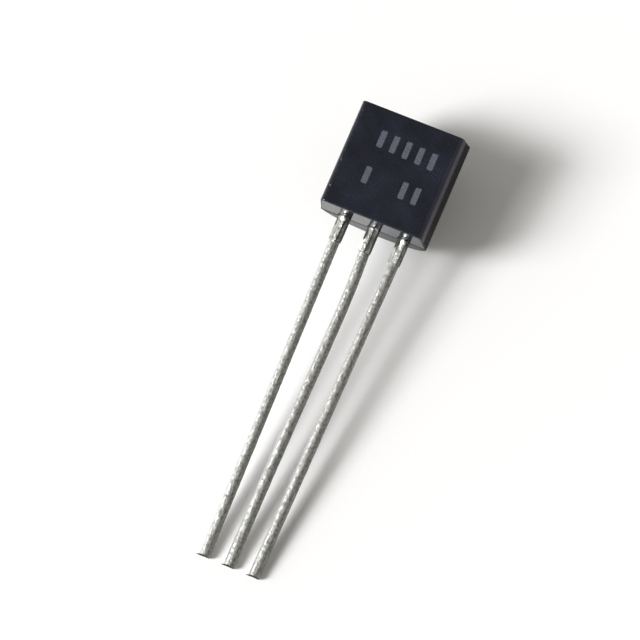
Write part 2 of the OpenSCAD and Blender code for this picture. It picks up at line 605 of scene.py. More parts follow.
@dataclass(frozen=True)
class DippedSolder(Finish):
    """Tin solder as hot dipping leaves it on a lead.

    Bright and mottled: long smooth runs broken by small lumps and dull frosted patches.
    """

    colour: str = "c3c4c0"
    patch_colour: str = "8e8f8c"
    patches: Grain = Grain((0.08, 0.14, 0.08), 0.42, 0.62)
    relief: Grain = Grain((0.055, 0.055, 0.055))
    relief_depth: float = 0.0046
    roughness: Span = (0.4, 0.52)
    dull_patches: bool = True
    metallic: float = 1.0
    # Painted shade and painted highlight: the side that faces away from the window is painted dull and
    # dark, the side that faces it bright
    shaded_side_colour: str = "666762"
    shaded_side_share: float = 0.75
    shaded_side_facing: Span = (0.45, 0.95)
    lit_side_colour: str = "ebebe9"
    lit_side_share: float = 0.9
    lit_side_facing: Span = (-0.45, -0.85)

    def overlays(self, tree: Tree, place: Socket) -> list[tuple[Socket, str]]:
        """Gives the painted shade on the side away from the window and the painted highlight on the side
        towards it.

        Args:
            tree: The material's tree.
            place: The coordinates, in millimetres.

        Returns:
            The share and the colour of each.
        """
        facing = add_node(tree, "ShaderNodeTexCoord", output="Normal")
        sideways = add_node(tree, "ShaderNodeSeparateXYZ", [facing], "X")
        # Painted shade on the side that faces +X, away from the window, and painted highlight on the
        # side that faces -X, towards it
        shaded_side = [sideways, *self.shaded_side_facing, 0.0, self.shaded_side_share]
        full = [sideways, *self.lit_side_facing, 0.0, self.lit_side_share]
        return [
            (add_node(tree, "ShaderNodeMapRange", shaded_side), self.shaded_side_colour),
            (add_node(tree, "ShaderNodeMapRange", full), self.lit_side_colour),
        ]


@dataclass(frozen=True)
class StampedStrip(Finish):
    """Rolled lead-frame strip, bare beside the case and inside it.

    A dull grey sheen with fine rolling lines along the lead, darker than the solder. Beside the
    case both its edges are painted dark up to where the solder starts: partly the bare metal of the
    edges, partly painted shade and dark reflection along them.
    """

    colour: str = "b0b2ab"
    patch_colour: str = "888a83"
    patches: Grain = Grain((0.25, 0.25, 0.25), 0.4, 0.6)
    relief: Grain = Grain((0.02, 0.9, 0.02), 0.3, 0.7)
    relief_depth: float = 0.0015
    roughness: Span = (0.54, 0.7)
    metallic: float = 1.0
    margin_colour: str = "4a4c44"
    # Of the left and the right dark edge, which is partly painted shade: where it starts across the
    #     lead and which way it grows, where it ends along the lead, and how dark it is
    margins: Span = (-0.11, 0.17)
    margin_fades: Span = (-0.03, 0.03)
    margin_ends: Span = (-0.35, -0.75)
    margin_depths: Span = (1.0, 0.5)
    margin_wander: float = 0.05
    end_wander: float = 0.35
    end_fade: float = 0.1
    wander: Grain = Grain((0.12, 0.3, 0.12), 0.3, 0.7)
    # Solder on the left edge beyond its dark band: real climbed solder, painted near white as a
    # highlight on the side towards the window
    climbed_and_lit_colour: str = "f4f4f1"
    climbed_and_lit_share: float = 0.15
    # Where the strip enters the case, the edges and the climbed solder fade
    inside: Span = (0.05, 0.1)

    def overlays(self, tree: Tree, place: Socket) -> list[tuple[Socket, str]]:
        """Gives the solder on the left edge, painted near white partly as a highlight on its lit side,
        and the dark edges, partly painted shade.

        Args:
            tree: The material's tree.
            place: The coordinates, in millimetres.

        Returns:
            The share and the colour of each.
        """
        add = partial(add_node, tree)
        across = add("ShaderNodeAttribute", (), "Fac", attribute_name=ACROSS)
        along = add("ShaderNodeSeparateXYZ", [place], "Y")
        wander = self.wander.draw(tree, place)
        sway = add("ShaderNodeMapRange", [wander, 0, 1, -self.margin_wander, self.margin_wander])
        swayed = add("ShaderNodeMath", [across, sway], operation="ADD")
        climb = add("ShaderNodeMath", [wander, self.end_wander, along], operation="MULTIPLY_ADD")
        # Painted shade, partly: each edge of the bare root is darkened towards margin_colour
        sides = zip(self.margins, self.margin_fades, self.margin_ends, self.margin_depths)
        edges, bare_and_shaded_edges, dark = [], [], 0.0
        for start, fade, end, depth in sides:
            edge = add("ShaderNodeMapRange", [swayed, start, start + fade])
            bare = add("ShaderNodeMapRange", [climb, end, end + self.end_fade])
            bare_and_shaded_edge = add("ShaderNodeMath", [edge, bare], operation="MULTIPLY")
            shade = add("ShaderNodeMath", [bare_and_shaded_edge, depth], operation="MULTIPLY")
            dark = add("ShaderNodeMath", [dark, shade], operation="MAXIMUM")
            edges.append(edge)
            bare_and_shaded_edges.append(bare_and_shaded_edge)
        # Painted highlight, partly: the left edge where it is not darkened gets the near-white colour
        climbed = add("ShaderNodeMath", [edges[0], bare_and_shaded_edges[0]], operation="SUBTRACT")
        climbed = add("ShaderNodeMath", [climbed, self.climbed_and_lit_share], operation="MULTIPLY")
        outside = add("ShaderNodeMapRange", [along, *self.inside, 1.0, 0.0])
        return [
            (add("ShaderNodeMath", [share, outside], operation="MULTIPLY"), colour)
            for share, colour in ((climbed, self.climbed_and_lit_colour), (dark, self.margin_colour))
        ]


@dataclass(frozen=True)
class ShearedMetal(Finish):
    """Lead-frame metal where cutters sheared it.

    Dark and torn, with drag lines across the cut.
    """

    colour: str = "1f201d"
    patch_colour: str = "42433e"
    patches: Grain = Grain((0.03, 0.03, 0.25))
    relief_depth: float = 0.004
    roughness: Span = (0.7, 0.7)
    metallic: float = 0.3
    specular: float = 0.15


@dataclass(frozen=True)
class SilverAdhesive(Finish):
    """Silver-filled epoxy that fixes the die.

    Dull and grainy, between a metal and a paste: bright flakes in a grey binder.
    """

    colour: str = "77777a"
    patch_colour: str = "b9b9bb"
    patches: Grain = Grain((0.012, 0.012, 0.012), 0.45, 0.6)
    relief_depth: float = 0.002
    roughness: Span = (0.55, 0.55)
    metallic: float = 0.7


@dataclass(frozen=True)
class PolishedSilicon(Finish):
    """A sawn and polished silicon chip.

    A dark blue-grey mirror with the faint saw lines of its sides.
    """

    colour: str = "474c58"
    patch_colour: str = "3a4a6b"
    patches: Grain = Grain((0.12, 0.12, 0.12), 0.45, 0.55, 0.0)
    relief: Grain = Grain((0.3, 0.3, 0.006), 0.3, 0.7)
    relief_depth: float = 0.0004
    roughness: Span = (0.12, 0.12)
    metallic: float = 0.6


@dataclass(frozen=True)
class DrawnGold(Finish):
    """Fine gold wire as it comes from the die that draws it.

    Bright warm yellow with hair lines along its length.
    """

    colour: str = "e6b45a"
    patch_colour: str = "c58f3c"
    patches: Grain = Grain((0.01, 0.2, 0.01))
    relief_depth: float = 0.0004
    roughness: Span = (0.18, 0.18)
    metallic: float = 1.0


SKINS = {
    # The matt skin of the sides and back is real, but its colour, darker than the flat's, is painted
    # shade
    Skin.ERODED: MouldedEpoxy(
        "eroded epoxy", "08090d", "0b0c11", relief_depth=0.002, roughness=(0.5, 0.62), specular=0.12
    ),
    # Painted reflection: this lighter copy of the epoxy stands for the bright table mirrored in the
    # flat's rounded right edge
    Skin.REFLECTING_EDGE: MouldedEpoxy(
        "epoxy with painted reflection", "262533", "2d2c3b", relief_depth=0.0015, roughness=(0.4, 0.5)
    ),
    Skin.LAPPED: MouldedEpoxy("lapped epoxy"),
    Skin.POLISHED: MouldedEpoxy(
        "polished epoxy", relief_depth=0.0001, roughness=(0.09, 0.15), ior=1.85
    ),
    Skin.BLASTED: MouldedEpoxy(
        "blasted epoxy", relief_depth=0.0008, roughness=(0.32, 0.42), specular=0.2
    ),
    Skin.ETCHED: LaserEtch("laser-etched epoxy"),
}
METALS = {
    Metal.DIPPED: DippedSolder("dipped solder"),
    # Painted highlight: the bead's colour is lifted above the solder's own so that its lamp glint
    # renders white
    Metal.BEADED: DippedSolder(
        "solder bead with painted glint",
        "f2f2ee",
        "e6e6e0",
        relief_depth=0.0004,
        roughness=(0.36, 0.42),
        shaded_side_share=0.0,
    ),
    Metal.BARE: StampedStrip("stamped strip"),
    Metal.CLIMBED: StampedStrip("solder-climbed strip", climbed_and_lit_share=1.0),
    Metal.SHEARED: ShearedMetal("sheared metal"),
    Metal.STAMPED: ShearedMetal("stamped edge", "3c3e38", "6a6c64", relief_depth=0.002),
}
# The CAD nodes that stay as they are, by their finish
KEPT_NODES = {
    SilverAdhesive("silver-filled adhesive"): ["die_attach"],
    PolishedSilicon("polished silicon"): ["silicon_die"],
    DrawnGold("drawn gold"): ["emitter_wire", "base_wire"],
}


# Scene


@dataclass
class Studio:
    """The white table, the soft light and the camera."""

    # The camera looks down on the flat from the lead side, turned about its own line of sight
    azimuth: float = 31.49
    elevation: float = 71.47
    roll: float = 8.13
    distance: float = 110.0
    target: Triple = (-0.286, 0.399, 2.914)
    lens: float = 159.5
    sensor: float = 36.0
    # The window on the left, as lamps one above the other: elevation, width and power of each
    window_azimuth: float = 236.0
    window_lamps: tuple[Triple, ...] = ((20.0, 60.0, 0.7), (34.5, 20.0, 2.6), (46.0, 20.0, 1.35))
    # The room is bright on the window's side, dimmer across from it, and its ceiling is dim
    window_side: str = "ffffff"
    window_span: Span = (-0.7, 0.5)
    far_side: str = "8f877a"
    ceiling: str = "7d7a75"
    ceiling_span: Span = (0.05, 0.75)
    # The table keeps the part's shadow, and a small share of white light of its own lifts it
    table_half: float = 1.5
    table_colour: str = "f3f3f3"
    table_lift: float = 0.04

    def build_camera(self) -> None:
        """Makes the camera at the photograph's viewing angle."""
        a, e, r = (math.radians(v) for v in (self.azimuth, self.elevation, self.roll))
        back = Vector((math.sin(a) * math.cos(e), -math.cos(a) * math.cos(e), math.sin(e)))
        level_right = Vector((math.cos(a), math.sin(a), 0))
        right = math.cos(r) * level_right - math.sin(r) * back.cross(level_right)
        data = bpy.data.cameras.new("camera")
        data.sensor_width = self.sensor
        data.lens = self.lens
        data.clip_start = MM
        data.clip_end = 10.0
        camera = bpy.data.objects.new("camera", data)
        place = (Vector(self.target) + back * self.distance) * MM
        turn = Matrix((right, back.cross(right), back)).transposed()
        camera.matrix_world = Matrix.Translation(place) @ turn.to_4x4()
        bpy.context.scene.collection.objects.link(camera)
        bpy.context.scene.camera = camera

    def build_window(self) -> Vector:
        """Makes the window's lamps.

        Returns:
            The level direction towards the window.
        """
        a = math.radians(self.window_azimuth)
        level_towards = Vector((math.sin(a), math.cos(a), 0))
        for i, (elevation, width, power) in enumerate(self.window_lamps):
            e = math.radians(elevation)
            towards = level_towards * math.cos(e) + Vector((0, 0, math.sin(e)))
            data = bpy.data.lights.new(f"window_{i}", "SUN")
            data.energy = power
            data.angle = math.radians(width)
            lamp = bpy.data.objects.new(f"window_{i}", data)
            lamp.rotation_euler = towards.to_track_quat("Z", "Y").to_euler()
            bpy.context.scene.collection.objects.link(lamp)
        return level_towards

    def build_room(self, window: Vector) -> None:
        """Makes the pale room round the table.

        Args:
            window: The level direction towards the window.
        """
        world = bpy.data.worlds.new("room")
        bpy.context.scene.world = world
        world.use_nodes = True
        world.node_tree.nodes.clear()
        add = partial(add_node, world.node_tree)
        direction = add("ShaderNodeTexCoord", output="Generated")
        facing = add("ShaderNodeVectorMath", [direction, window], operation="DOT_PRODUCT")
        height = add("ShaderNodeSeparateXYZ", [direction], "Z")
        shade = linear(self.far_side)
        window_layer = (facing, self.window_span, self.window_side)
        ceiling_layer = (height, self.ceiling_span, self.ceiling)
        for value, span, colour in (window_layer, ceiling_layer):
            share = add("ShaderNodeMapRange", [value, *span])
            inputs = {"Factor_Float": share, "A_Color": shade, "B_Color": linear(colour)}
            shade = add("ShaderNodeMix", inputs, data_type="RGBA")
        sky = add("ShaderNodeBackground", {"Color": shade})
        add("ShaderNodeOutputWorld", {"Surface": sky})

    def build_table(self) -> None:
        """Makes the white table."""
        h = self.table_half
        material = bpy.data.materials.new("white table")
        corners = [(-h, -h, 0), (h, -h, 0), (h, h, 0), (-h, h, 0)]
        table = mesh_object("table", corners, [(0, 1, 2, 3)], material)
        material.use_nodes = True
        material.node_tree.nodes.clear()
        add = partial(add_node, material.node_tree)
        rays = add("ShaderNodeLightPath").node.outputs
        seen = rays["Is Camera Ray"]
        for kind in ("Is Glossy Ray", "Is Transmission Ray"):
            seen = add("ShaderNodeMath", [seen, rays[kind]], operation="ADD", use_clamp=True)
        paper = add("ShaderNodeBsdfDiffuse", {"Color": linear(self.table_colour)})
        glow = add("ShaderNodeEmission", {"Color": linear("ffffff"), "Strength": seen})
        lift = add("ShaderNodeMixShader", [self.table_lift, paper, glow])
        add("ShaderNodeOutputMaterial", {"Surface": lift})

    def build(self) -> None:
        """Builds the whole studio."""
        self.build_camera()
        self.build_room(self.build_window())
        self.build_table()
        bpy.context.scene.view_settings.view_transform = "Standard"


# Shapes that follow a rule, made with Geometry Nodes


class ShapeTree:
    """A Geometry Nodes tree with named inputs for its sizes."""

    KINDS = {float: "NodeSocketFloat", int: "NodeSocketInt", tuple: "NodeSocketVector"}

    def __init__(self, name: str, sizes: dict[str, float | int | Triple]) -> None:
        """Starts the tree.

        Args:
            name: The tree's name.
            sizes: The inputs by name, with their first values.
        """
        self.tree = bpy.data.node_groups.new(name, "GeometryNodeTree")
        face = self.tree.interface
        face.new_socket("Geometry", in_out="OUTPUT", socket_type="NodeSocketGeometry")
        face.new_socket("Geometry", in_out="INPUT", socket_type="NodeSocketGeometry")
        face.new_socket("Material", in_out="INPUT", socket_type="NodeSocketMaterial")
        for key, value in sizes.items():
            socket = face.new_socket(key, in_out="INPUT", socket_type=self.KINDS[type(value)])
            socket.default_value = value
        self.add = partial(add_node, self.tree)
        self.given = self.add("NodeGroupInput").node.outputs

    def section(self, width: Socket, height: Socket) -> Socket:
        """Adds a rectangle with rounded corners.

        Args:
            width: The output with its width.
            height: The output with its height.

        Returns:
            The output with its curve.
        """
        inputs = {"Width": width, "Height": height}
        sharp = self.add("GeometryNodeCurvePrimitiveQuadrilateral", inputs)
        inputs = {"Curve": sharp, "Radius": self.given["Corner"], "Limit Radius": True}
        inputs["Count"] = self.given["Corner steps"]
        return self.add("GeometryNodeFilletCurve", inputs, mode="POLY")

    def finish(self, geometry: Socket) -> None:
        """Ends the tree with a plain mesh and its material.

        Args:
            geometry: The output with the shape.
        """
        inputs = {"Geometry": self.add("GeometryNodeRealizeInstances", {"Geometry": geometry})}
        inputs["Material"] = self.given["Material"]
        dressed = self.add("GeometryNodeSetMaterial", inputs)
        self.add("NodeGroupOutput", {"Geometry": dressed})

    def make(self, name: str, material: Material, **sizes: Any) -> Piece:
        """Makes a plain mesh with the tree.

        Args:
            name: The object's name.
            material: Its material.
            sizes: Values for the tree's inputs, by name with underscores for spaces.

        Returns:
            The object.
        """
        piece = mesh_object(name + "_seed", [], [])
        shape = piece.modifiers.new("shape", "NODES")
        shape.node_group = self.tree
        values = {key.replace("_", " "): value for key, value in sizes.items()}
        values["Material"] = material
        for socket in self.tree.interface.items_tree:
            if socket.in_out == "INPUT" and socket.name in values:
                shape[socket.identifier] = values[socket.name]
        return plain_copy(piece, name)


def solder_run_tree() -> ShapeTree:
    """Makes the tree of a rounded bar that solder coats unevenly.

    The bar runs along -Y from the origin. It may lean or bow sideways, and its coat is thinner
    than the full section by up to Relief, apart from its far end, where the cut spreads it.

    Returns:
        The tree.
    """
    sizes = {"Start": (0.0, 0.0, 0.0), "Length": 1.0, "Lean": 0.0, "Bow": 0.0, "Tilt": 0.0}
    sizes |= {"Width": 0.4, "Thickness": 0.4, "Corner": 0.1, "Corner steps": 6, "Ring step": 0.05}
    sizes |= {"Relief": 0.01, "Grain": (0.1, 0.3, 0.1), "Cut length": 0.05}
    shape = ShapeTree("solder run", sizes)
    add, given = shape.add, shape.given
    end_y = add("ShaderNodeMath", [given["Length"], -1.0], operation="MULTIPLY")
    line = add("GeometryNodeCurvePrimitiveLine", {"End": add("ShaderNodeCombineXYZ", {"Y": end_y})})
    inputs = {"Curve": line, "Length": given["Ring step"]}
    path = add("GeometryNodeResampleCurve", inputs, mode="LENGTH")
    along = add("GeometryNodeSplineParameter", output="Factor")
    lean = add("ShaderNodeMath", [given["Lean"], along], operation="MULTIPLY")
    # The bow is widest a fifth of the way along: f (1 - f)^4 peaks there at 1 / 12.2
    bow_power, bow_peak = 4.0, 12.2
    fade = add("ShaderNodeMath", [1.0, along], operation="SUBTRACT")
    bow = add("ShaderNodeMath", [fade, bow_power], operation="POWER")
    for factor in (along, bow_peak, given["Bow"]):
        bow = add("ShaderNodeMath", [factor, bow], operation="MULTIPLY")
    aside = add("ShaderNodeMath", [lean, bow], operation="ADD")
    offset = add("ShaderNodeCombineXYZ", {"X": aside})
    path = add("GeometryNodeSetPosition", {"Geometry": path, "Offset": offset})
    path = add("GeometryNodeSetCurveNormal", {"Curve": path}, mode="Z_UP")
    path = add("GeometryNodeSetCurveTilt", {"Curve": path, "Tilt": given["Tilt"]})
    section = shape.section(given["Width"], given["Thickness"])
    section = add("GeometryNodeSubdivideCurve", {"Curve": section, "Cuts": 1})
    inputs = {"Curve": path, "Profile Curve": section, "Fill Caps": True}
    bar = add("GeometryNodeCurveToMesh", inputs)
    place = add("GeometryNodeInputPosition")
    grain = add("ShaderNodeVectorMath", [place, given["Grain"]], operation="DIVIDE")
    grain = add("ShaderNodeVectorMath", [grain, given["Start"]], operation="ADD")
    cloud = add("ShaderNodeTexNoise", {"Vector": grain, "Scale": 1.0, "Detail": 2.0})
    # The coat keeps its full section where the noise is lowest, and sinks as the noise grows
    sink = add("ShaderNodeMapRange", [cloud, 0.3, 0.7, 0.1, -1.0])
    inward = add("ShaderNodeMath", [sink, 0.0], operation="MINIMUM")
    place_y = add("ShaderNodeSeparateXYZ", [place], "Y")
    to_end = add("ShaderNodeMath", [place_y, given["Length"]], operation="ADD")
    away = add("ShaderNodeMapRange", [to_end, 0.0, given["Cut length"]])
    for factor in (given["Relief"], away):
        inward = add("ShaderNodeMath", [inward, factor], operation="MULTIPLY")
    inputs = {0: add("GeometryNodeInputNormal"), "Scale": inward}
    shift = add("ShaderNodeVectorMath", inputs, operation="SCALE")
    coated = add("GeometryNodeSetPosition", {"Geometry": bar, "Offset": shift})
    inputs = {"Geometry": coated, "Translation": given["Start"]}
    placed = add("GeometryNodeTransform", inputs)
    shape.finish(add("GeometryNodeSetShadeSmooth", {"Geometry": placed}))
    return shape


def etched_row_tree() -> ShapeTree:
    """Makes the tree of a row of equal blocks with rounded corners, upright on the flat.

    Returns:
        The tree.
    """
    sizes = {"Start": (0.0, 0.0, 0.0), "Step": (0.5, 0.0, 0.0), "Count": 5, "Width": 0.25}
    sizes |= {"Height": 0.7, "Corner": 0.06, "Corner steps": 5, "Depth": 0.1}
    shape = ShapeTree("etched row", sizes)
    add, given = shape.add, shape.given
    inputs = {"Count": given["Count"], "Start Location": given["Start"], "Offset": given["Step"]}
    places = add("GeometryNodeMeshLine", inputs, mode="OFFSET")
    top = add("ShaderNodeCombineXYZ", {"Z": given["Depth"]})
    upright = add("GeometryNodeCurvePrimitiveLine", {"End": top})
    section = shape.section(given["Width"], given["Height"])
    inputs = {"Curve": upright, "Profile Curve": section, "Fill Caps": True}
    block = add("GeometryNodeCurveToMesh", inputs)
    shape.finish(add("GeometryNodeInstanceOnPoints", {"Points": places, "Instance": block}))
    return shape


# The part's pieces


@dataclass
class MouldedCase:
    """The black case, moulded in one shot round the lead frame: flat front, round back."""

    level: LevelFrame
    side_draft: float = 7.0
    end_draft: float = 4.7
    # The flat reaches further out over these two walls, which are steeper
    left_draft: float = 2.7
    top_draft: float = 2.5
    edge_r: float = 0.2
    edge_steps: int = 14
    end_edge_r: float = 0.05
    end_edge_steps: int = 4
    # The parting line stands a hair proud where the two halves of the mould met
    flash_half: float = 0.018
    flash_proud: float = 0.012
    cell: float = 0.055
    ejector_d: float = 1.6
    ejector_depth: float = 0.18
    ejector_corner: float = 0.05
    # The gate's stub, which tore off at a height between two shares of gate_proud
    gate_w: float = 0.9
    gate_t: float = 0.3
    gate_proud: float = 0.05
    gate_torn: Span = (0.35, 0.95)
    gate_foot: float = 0.06
    gate_cell: float = 0.045
    gate_waves: float = 9.0
    # Rows of marks: X and Y of the first block, and how many blocks it has
    mark_rows: tuple[tuple[float, float, int], ...] = ((-0.9, 3.23, 5), (-0.9, 1.68, 1), (0.68, 1.62, 2))
    mark_step: Triple = (0.55, -0.03, 0.0)
    mark_depth: float = 0.012
    mark_clear: float = 0.2
    # Chips: their share on the left, right, lower and upper edge of the flat, how many points of
    # the rounded edges lie between the flat and their middles, and their radius and depth
    chip_seed: int = 7
    chip_count: int = 34
    chip_shares: tuple[float, float, float, float] = (0.4, 0.15, 0.25, 0.2)
    chip_down: int = 3
    chip_out: int = 2
    chip_r: Span = (0.035, 0.08)
    chip_depth: Span = (0.006, 0.02)
    # How near an end a face may lie to count as part of it, and where the edge with the painted
    # reflection is
    end_zone: float = 0.2
    reflecting_edge_w: float = 0.5
    reflecting_edge_facing: float = 0.25

    def end_run(self, z: float, at_top: bool) -> float:
        """Gives how far the drafted end faces stand back from the parting plane's edge.

        Args:
            z: A height in the level frame.
            at_top: True for the top face, False for the leads' face.

        Returns:
            The distance along the leads. It is negative on the parting line's flash.
        """
        away = abs(z - self.level.lead_z)
        draft = self.top_draft if at_top and z > self.level.lead_z else self.end_draft
        crest = self.flash_half / 3
        share = max(0.0, 1 - max(0.0, away - crest) / (self.flash_half - crest))
        return away * math.tan(math.radians(draft)) - self.flash_proud * share

    def half_outline(self, side_draft: float) -> list[tuple[float, float, float, float]]:
        """Gives half of the section across the leads, from the back to the flat.

        Args:
            side_draft: The draft of the side wall, in degrees.

        Returns:
            X, Z and the outward normal's X and Z of each point, with X towards the wall.
        """
        lead_z, top, r = self.level.lead_z, self.level.case_t, self.edge_r
        waist = self.level.case_w / 2 - self.flash_proud
        draft = math.radians(side_draft)
        back_r = (waist * waist + lead_z * lead_z) / (2 * lead_z)
        end = math.asin((lead_z - self.flash_half - back_r) / back_r)
        steps = round((end + QUARTER) * back_r / self.cell)
        back = arc((0.0, 0.0), 1.0, -QUARTER, end, steps)
        points = [(back_r * x, back_r + back_r * z, x, z) for x, z in back]
        crest = self.flash_half / 3
        for z in (lead_z - crest, lead_z + crest):
            points.append((waist + self.flash_proud, z, 1.0, 0.0))
        disc_x = waist - (top - lead_z) * math.tan(draft) - r * math.tan((QUARTER - draft) / 2)
        disc_z = top - r
        wall_end = disc_z + r * math.sin(draft)
        wall_start = lead_z + self.flash_half
        steps = round((disc_z - wall_start) / self.cell)
        for i in range(steps):
            z = wall_start + (wall_end - wall_start) * i / steps
            x = waist - (z - lead_z) * math.tan(draft)
            points.append((x, z, math.cos(draft), math.sin(draft)))
        for x, z in arc((0.0, 0.0), 1.0, draft, QUARTER, self.edge_steps):
            points.append((disc_x + r * x, disc_z + r * z, x, z))
        steps = round(waist / self.cell)
        for i in range(1, steps + 1):
            points.append((disc_x * (1 - i / steps), top, 0.0, 1.0))
        return points

    def end_ring(
        self, section: list[tuple[float, float, float, float]], inset: float, run: float, at_top: bool
    ) -> np.ndarray:
        """Places the section's points at one end of the case.

        Args:
            section: The whole section's points and normals.
            inset: How far the ring is drawn in.
            run: How far the ring stands back from the end face.
            at_top: True for the top face, False for the leads' face.

        Returns:
            The ring's points.
        """
        ring = []
        for x, z, nx, nz in section:
            inner_z = z - nz * inset
            y = self.end_run(inner_z, at_top) + run
            ring.append((x - nx * inset, self.level.case_h - y if at_top else y, inner_z))
        return np.array(ring)

    def rings(self) -> np.ndarray:
        """Places the section's points along the case, with the end edges rounded.

        Returns:
            The points of each ring, from the leads' face to the top face.
        """
        left = [(-x, z, -nx, nz) for x, z, nx, nz in self.half_outline(self.left_draft)]
        section = self.half_outline(self.side_draft) + left[-2:0:-1]
        r = self.end_edge_r
        corner = arc((r, r), -r, QUARTER, 0.0, self.end_edge_steps)
        near = [self.end_ring(section, inset, run, False) for inset, run in corner]
        far = [self.end_ring(section, inset, run, True) for inset, run in reversed(corner)]
        steps = round(self.level.case_h / self.cell)
        side = [near[-1] + (far[0] - near[-1]) * (j / steps) for j in range(1, steps)]
        return np.array(near + side + far)

    def chip(self, rings: np.ndarray, flat_edge: int) -> np.ndarray:
        """Knocks small chips out of the flat's edges.

        Args:
            rings: The points of each ring.
            flat_edge: The number of the flat's first point in a ring.

        Returns:
            The points with the chips.
        """
        dice = np.random.default_rng(self.chip_seed)
        points = rings.copy()
        low_ring, high_ring = self.end_edge_steps, len(rings) - 1 - self.end_edge_steps
        far_edge = rings.shape[1] - flat_edge
        middle = np.array([0.0, self.level.case_h / 2, self.level.lead_z])
        for _ in range(self.chip_count):
            side = dice.choice(4, p=self.chip_shares)
            ring = dice.integers(low_ring, high_ring)
            place = dice.integers(flat_edge, far_edge)
            centre = (
                rings[ring, far_edge + self.chip_down],
                rings[ring, flat_edge - self.chip_down],
                rings[low_ring - self.chip_out, place],
                rings[high_ring + self.chip_out, place],
            )[side]
            reach = dice.uniform(*self.chip_r)
            depth = dice.uniform(*self.chip_depth)
            away = np.linalg.norm(rings - centre, axis=2)
            share = np.clip(1 - (away / reach) ** 2, 0, 1)
            inward = (middle - centre) / np.linalg.norm(middle - centre)
            points += share[..., None] * depth * inward
        return points

    def shell(self, epoxy: Material) -> Piece:
        """Makes the outside of the case as one closed skin.

        Args:
            epoxy: The material.

        Returns:
            The solid.
        """
        heights = [z for _, z, _, _ in self.half_outline(self.side_draft)]
        flat_edge = next(i for i, z in enumerate(heights) if z >= self.level.case_t - 1e-6)
        rings = self.chip(self.rings(), flat_edge)
        count = rings.shape[1]
        faces = tube_faces(len(rings), count)
        # Each end is closed by rows from its left to its right side, from the back up to the flat
        for i in range(flat_edge):
            row = [i, i + 1, count - i - 1, count - i]
            if i == 0:
                row = [0, 1, count - 1]
            if i == flat_edge - 1:
                row = list(range(i, count - i + 1))
            faces.append(row)
            faces.append([(len(rings) - 1) * count + k for k in reversed(row)])
        return mesh_object("moulded_case", rings.reshape(-1, 3), faces, epoxy)

    def gate(self, epoxy: Material) -> Piece:
        """Makes the rough stub that the gate leaves on the top face.

        Args:
            epoxy: The material.

        Returns:
            The solid.
        """
        wide = round(self.gate_w / self.gate_cell)
        thick = round(self.gate_t / self.gate_cell)
        top = self.level.case_h
        low, high = self.gate_torn
        foot, torn = [], []
        for j in range(thick + 1):
            for i in range(wide + 1):
                x = self.gate_w * (i / wide - 0.5)
                z = self.level.lead_z + self.gate_t * (j / thick - 0.5)
                share = 0.5 + 0.5 * noise.noise(Vector((x, z, 0)) * self.gate_waves)
                foot.append((x, top - self.gate_foot, z))
                torn.append((x, top + self.gate_proud * (low + (high - low) * share), z))
        row, size = wide + 1, len(foot)
        faces = []
        for j in range(thick):
            for a in range(j * row, j * row + wide):
                cell = [a, a + 1, a + row + 1, a + row]
                faces += [cell, [size + k for k in reversed(cell)]]
        rim = [*range(wide), *range(wide, size - 1, row)]
        rim += [*range(size - 1, size - row, -1), *range(size - row, 0, -row)]
        for a, b in zip(rim, rim[1:] + rim[:1]):
            faces.append([a, size + a, size + b, b])
        stub = mesh_object("gate", foot + torn, faces, epoxy)
        face_outwards(stub)
        return stub

    def ejector(self, epoxy: Material) -> Piece:
        """Makes the cutter of the ejector pin's mark on the round back.

        Args:
            epoxy: The material that the cut gets.

        Returns:
            The cutter.
        """
        r, depth, corner = self.ejector_d / 2, self.ejector_depth, self.ejector_corner
        below, steps = -1.0, 96
        profile = [(r, below), *arc((r - corner, depth - corner), corner, 0.0, QUARTER, 5)]
        rings = []
        for ring_r, z in profile:
            circle = arc((0.0, self.level.case_h / 2), ring_r, 0.0, 2 * math.pi, steps)
            rings.append([(x, y, z) for x, y in circle[:-1]])
        return loft("ejector", rings, epoxy)

    def marks(self, etch: Material) -> list[Piece]:
        """Makes the cutters of the laser's marks: plain blocks in two rows.

        Args:
            etch: The material that the cut gets.

        Returns:
            The cutters.
        """
        tree = etched_row_tree()
        low = self.level.case_t - self.mark_depth
        cutters = []
        for i, (x, y, count) in enumerate(self.mark_rows):
            sizes = {"Start": (x, y, low), "Step": self.mark_step, "Count": count}
            cutters.append(tree.make(f"mark_{i}", etch, Depth=self.mark_clear, **sizes))
        return cutters

    def dress(self, case: Piece, skins: dict[Skin, Material]) -> None:
        """Gives each side of the case the finish that its part of the mould had, and the flat's right
        edge the painted reflection.

        Args:
            case: The piece in the level frame.
            skins: The finishes of the case.
        """
        numbers = {}
        names = [m.name for m in case.data.materials]
        for skin, material in skins.items():
            if material.name not in names:
                case.data.materials.append(material)
                names.append(material.name)
            numbers[skin] = names.index(material.name)
        half_h = self.level.case_h / 2
        end_facing = math.cos(math.radians(self.end_draft)) - 0.002
        flat_facing = math.sin(math.radians(self.side_draft)) + 0.02
        for face in case.data.polygons:
            front = face.center.z > self.level.lead_z
            near_end = abs(face.center.y - half_h) > half_h - self.end_zone
            near_flat = face.center.z > self.level.case_t - self.reflecting_edge_w
            if face.material_index == numbers[Skin.ETCHED]:
                continue
            if abs(face.normal.y) > end_facing and near_end:
                face.use_smooth = False
                face.material_index = numbers[Skin.POLISHED if front else Skin.BLASTED]
            # Painted reflection on the flat's right edge, which faces away from the window
            elif near_flat and face.normal.x > self.reflecting_edge_facing:
                face.material_index = numbers[Skin.REFLECTING_EDGE]
            elif front and face.normal.z > flat_facing:
                face.material_index = numbers[Skin.LAPPED]

